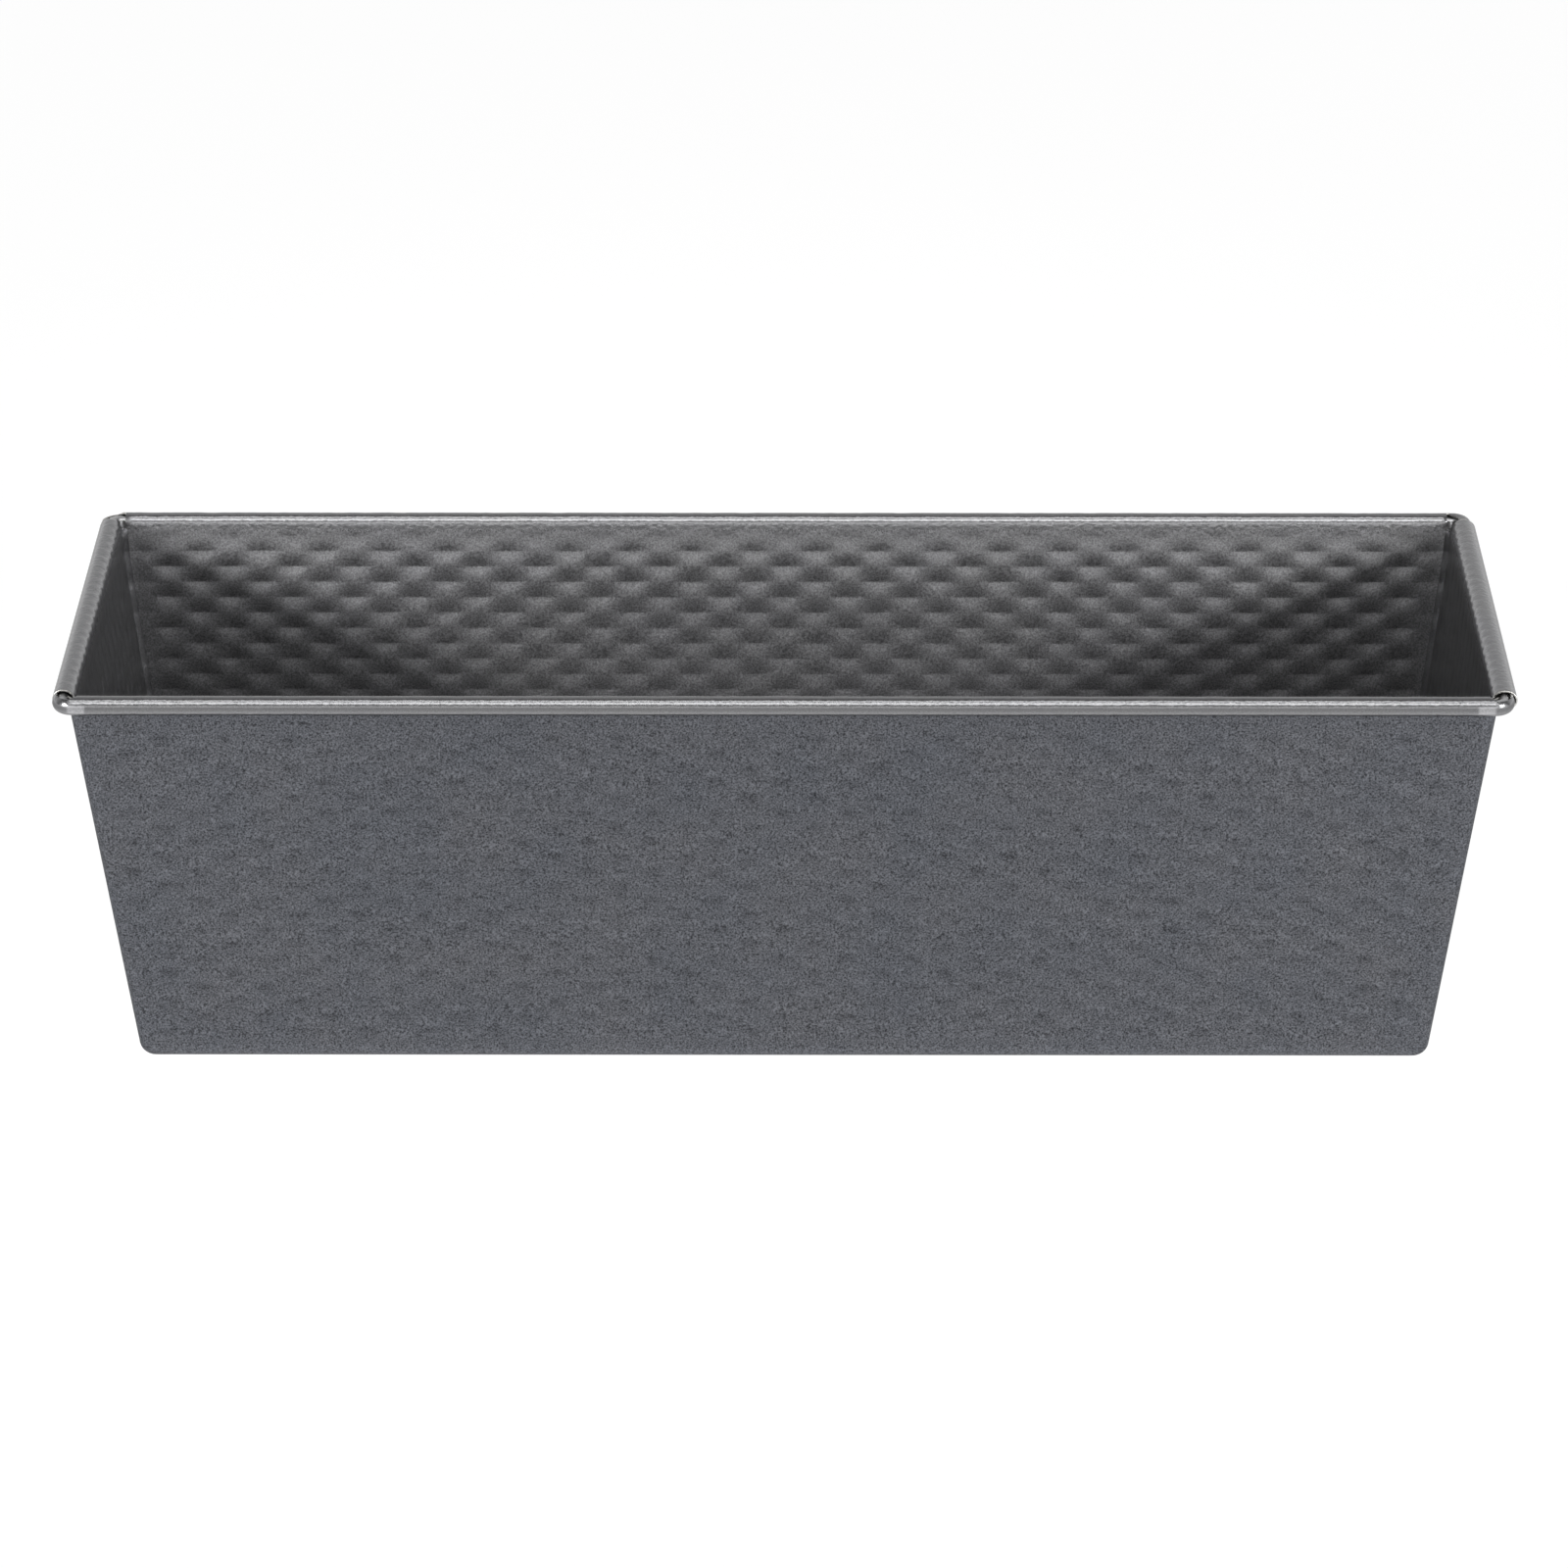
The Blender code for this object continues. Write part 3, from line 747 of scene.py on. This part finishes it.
for name, node, turned in (("right_end_panel", "right_end", 1), ("left_end_panel", "left_end", -1)):
    panel = sheet_piece(name, sewn([panel_patch(turned)]))
    # below BRIGHT_EDGE the cut edges take the inside coat, so that painted shade darkens them in the corners
    for face in panel.data.polygons:
        if face.material_index == 2 and face.center.z < HEIGHT - BRIGHT_EDGE:
            face.material_index = 0
    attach(panel, "root")
    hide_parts(node)

# %% [markdown]
# Rim wire. One closed ring of round wire lies inside all four rolled edges and gives the thin rim its
# strength. A curve with a round bevel is the natural way to draw a wire.

# %% Make the wire ring
RING_POINTS = 15  # round each corner
RING_ROUNDNESS = 6


def wire_ring(name):
    """The closed wire, straight in the beads and rolls and bent at the four corners."""
    points = []
    for corner, (sign_x, sign_y) in enumerate(((1, 1), (-1, 1), (-1, -1), (1, -1))):
        for turn in np.linspace(0.0, QUARTER_TURN, RING_POINTS) + QUARTER_TURN * corner:
            x = sign_x * (END_CENTRE - ELBOW_RADIUS) + ELBOW_RADIUS * math.cos(turn)
            y = sign_y * (SIDE_CENTRE - ELBOW_RADIUS) + ELBOW_RADIUS * math.sin(turn)
            points.append((x, y, SIDE_CENTRE_Z, 1.0))
    curve = bpy.data.curves.new(name, "CURVE")
    curve.dimensions = "3D"
    spline = curve.splines.new("POLY")
    spline.points.add(len(points) - 1)
    spline.points.foreach_set("co", np.array(points).ravel())
    spline.use_cyclic_u = True
    spline.use_smooth = True
    curve.bevel_depth = WIRE / 2
    curve.bevel_resolution = RING_ROUNDNESS
    curve.materials.append(wire_steel)
    ring = bpy.data.objects.new(name, curve)
    bpy.context.scene.collection.objects.link(ring)
    return ring


ring = wire_ring("rim_wire_ring")
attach(ring, "root")
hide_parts("rim_wire")

# %% [markdown]
# Floor. A wide sheet of matt white paper, lit so strongly that it is pure white in a picture. It is drawn as
# paper with a glow of its own, which is seen and mirrored but lights nothing. The pan's soft shadow still
# shows a little, and the front wall, which leans out over the paper, mirrors it.

# %% Make the floor
FLOOR_HALF = 6.0
FIBRE = 3.0 * MM  # size of the cloudiness in the paper
PAPER_GLOW = 0.85  # share of the glow in what is seen of the paper
GLOW_RADIANCE = 1.1


def mirrored_of(tree, path):
    """1 for what a mirror or glass sees and 0 for the rest, from the outputs of a Light Path node."""
    kinds = {0: path["Is Glossy Ray"], 1: path["Is Transmission Ray"]}
    return add_node(tree, "ShaderNodeMath", kinds, operation="MAXIMUM").outputs[0]


def matt_paper():
    """White paper, matt to the light that falls on it and glowing to whoever sees it."""
    material, tree, place = new_material("matt_white_paper")
    fibre = noise_of(tree, place, FIBRE, 3.0)
    tones = {0: spread_of(tree, fibre, 0.0, 1.0), 6: linear("#F3F3F3"), 7: linear("#F6F6F6")}
    colour = add_node(tree, "ShaderNodeMix", tones, data_type="RGBA").outputs[2]
    path = add_node(tree, "ShaderNodeLightPath").outputs
    kinds = {0: path["Is Camera Ray"], 1: mirrored_of(tree, path)}
    seen = add_node(tree, "ShaderNodeMath", kinds, operation="MAXIMUM").outputs[0]
    glow = add_node(tree, "ShaderNodeMath", {0: seen, 1: PAPER_GLOW}, operation="MULTIPLY").outputs[0]
    lit = add_node(tree, "ShaderNodeBsdfDiffuse", {"Color": colour}).outputs[0]
    white = add_node(tree, "ShaderNodeEmission", {"Strength": GLOW_RADIANCE}).outputs[0]
    surface = add_node(tree, "ShaderNodeMixShader", {0: glow, 1: lit, 2: white}).outputs[0]
    add_node(tree, "ShaderNodeOutputMaterial", {"Surface": surface})
    return material


floor_mesh = bpy.data.meshes.new("studio_floor")
floor_signs = ((-1, -1), (1, -1), (1, 1), (-1, 1))
floor_mesh.from_pydata([(x * FLOOR_HALF, y * FLOOR_HALF, 0) for x, y in floor_signs], [], [(0, 1, 2, 3)])
floor_mesh.materials.append(matt_paper())
studio_floor = bpy.data.objects.new("studio_floor", floor_mesh)
bpy.context.scene.collection.objects.link(studio_floor)

# %% [markdown]
# Light. A wide soft box hangs high over the camera's side and draws the bright line along the beads, and a
# second one in front lights the inside of the back wall. Two small boxes stand low at the front left and
# right, a metre away, and grids keep their light to the end of the pan on their own side. The end wall there
# cuts it off, which throws the slanting shadow in each back corner.
#
# The coat is half a mirror, so it needs a room to mirror. The room changes with the angle round the pan's
# long axis: bright low in front, nearly black from there to overhead, and light again behind. It lights the
# pan itself very little, and the camera sees it as plain white.

# %% Lamps and world
ROOM_LIGHT = 0.08
# degrees from level on the camera's side over the top to level behind, and the radiance mirrored there
ROOM = ((0, 2.5), (14, 1.0), (24, 0.1), (90, 0.05), (130, 0.9), (155, 0.7), (180, 1.7))


def soft_box(name, azimuth, elevation, away, width, height, radiance, aim=0.0, fan=180):
    """A lamp that faces the pan, with angles in degrees. Azimuth 0 is the camera's side and 90 the right.

    It aims at a point `aim` to the right of the middle. A grid keeps its light within `fan` degrees.
    """
    lamp = bpy.data.lights.new(name, "AREA")
    lamp.shape = "RECTANGLE"
    lamp.size, lamp.size_y = width, height
    lamp.energy = radiance * math.pi * width * height
    lamp.spread = math.radians(fan)
    box = bpy.data.objects.new(name, lamp)
    box.visible_camera = False
    turn, rise = math.radians(azimuth), math.radians(elevation)
    level = away * math.cos(rise)
    box.location = (level * math.sin(turn), -level * math.cos(turn), away * math.sin(rise))
    box.rotation_euler = (box.location - Vector((aim, 0, 0))).to_track_quat("Z", "Y").to_euler()
    bpy.context.scene.collection.objects.link(box)


def white_room():
    """The world: plain white to the camera, the room to a mirror, and a faint even light to the rest."""
    world = bpy.data.worlds.new("white_room")
    world.use_nodes = True
    tree = world.node_tree
    tree.nodes.clear()
    direction = add_node(tree, "ShaderNodeTexCoord").outputs["Generated"]
    towards = add_node(tree, "ShaderNodeSeparateXYZ", {0: direction}).outputs
    front = add_node(tree, "ShaderNodeMath", {0: towards["Y"], 1: -1.0}, operation="MULTIPLY").outputs[0]
    angle = add_node(tree, "ShaderNodeMath", {0: towards["Z"], 1: front}, operation="ARCTAN2").outputs[0]
    share = add_node(tree, "ShaderNodeMath", {0: angle, 1: math.pi}, operation="DIVIDE").outputs[0]
    ramp = add_node(tree, "ShaderNodeValToRGB", {"Fac": share})
    stops = ramp.color_ramp.elements
    stops.remove(stops[1])
    for place, (degrees, radiance) in enumerate(ROOM):
        stop = stops[0] if place == 0 else stops.new(degrees / 180)
        stop.position = degrees / 180
        stop.color = (radiance, radiance, radiance, 1.0)
    mirrored_room = ramp.outputs["Color"]
    path = add_node(tree, "ShaderNodeLightPath").outputs
    unseen = add_node(tree, "ShaderNodeMix", {0: mirrored_of(tree, path), 2: ROOM_LIGHT, 3: mirrored_room}).outputs[0]
    strength = add_node(tree, "ShaderNodeMix", {0: path["Is Camera Ray"], 2: unseen, 3: 1.0}).outputs[0]
    background = add_node(tree, "ShaderNodeBackground", {"Color": (1, 1, 1, 1), "Strength": strength})
    add_node(tree, "ShaderNodeOutputWorld", {"Surface": background.outputs[0]})
    bpy.context.scene.world = world


soft_box("high_soft_box", 0, 76, away=4.0, width=2.4, height=0.85, radiance=3.9)
soft_box("front_soft_box", 0, 47, away=4.0, width=2.4, height=1.7, radiance=3.5)
soft_box("left_soft_box", -48, 19, away=1.0, width=0.15, height=0.12, radiance=10.4, aim=-0.13, fan=38)
soft_box("right_soft_box", 48, 18.5, away=1.0, width=0.13, height=0.1, radiance=15.6, aim=0.1, fan=40)
white_room()
bpy.context.scene.view_settings.view_transform = "Standard"
print("lamps:", sorted(lamp.name for lamp in bpy.data.lights))

# %% [markdown]
# Camera. The photograph was taken with a long lens, from a little above the rim and almost square to the
# front. The camera's place and the lens were worked out from the corners of the rim and of the base.

# %% Make the camera
LENS = 175.388  # focal length in mm, for a sensor 36 mm wide
PLACE = Vector((0.0088996, -1.5624478, 0.6321482))
RIGHT = Vector((0.99998491, 0.00537165, -0.00115108))
UP = Vector((-0.00081098, 0.35157876, 0.93615796))
BACK = Vector((0.00543341, -0.93614290, 0.35157779))
camera_data = bpy.data.cameras.new("camera")
camera_data.sensor_width = 36.0
camera_data.lens = LENS
camera = bpy.data.objects.new("camera", camera_data)
camera.matrix_world = Matrix.Translation(PLACE) @ Matrix((RIGHT, UP, BACK)).transposed().to_4x4()
bpy.context.scene.collection.objects.link(camera)
bpy.context.scene.camera = camera
print(f"camera {PLACE.length:.2f} m from the middle of the base")
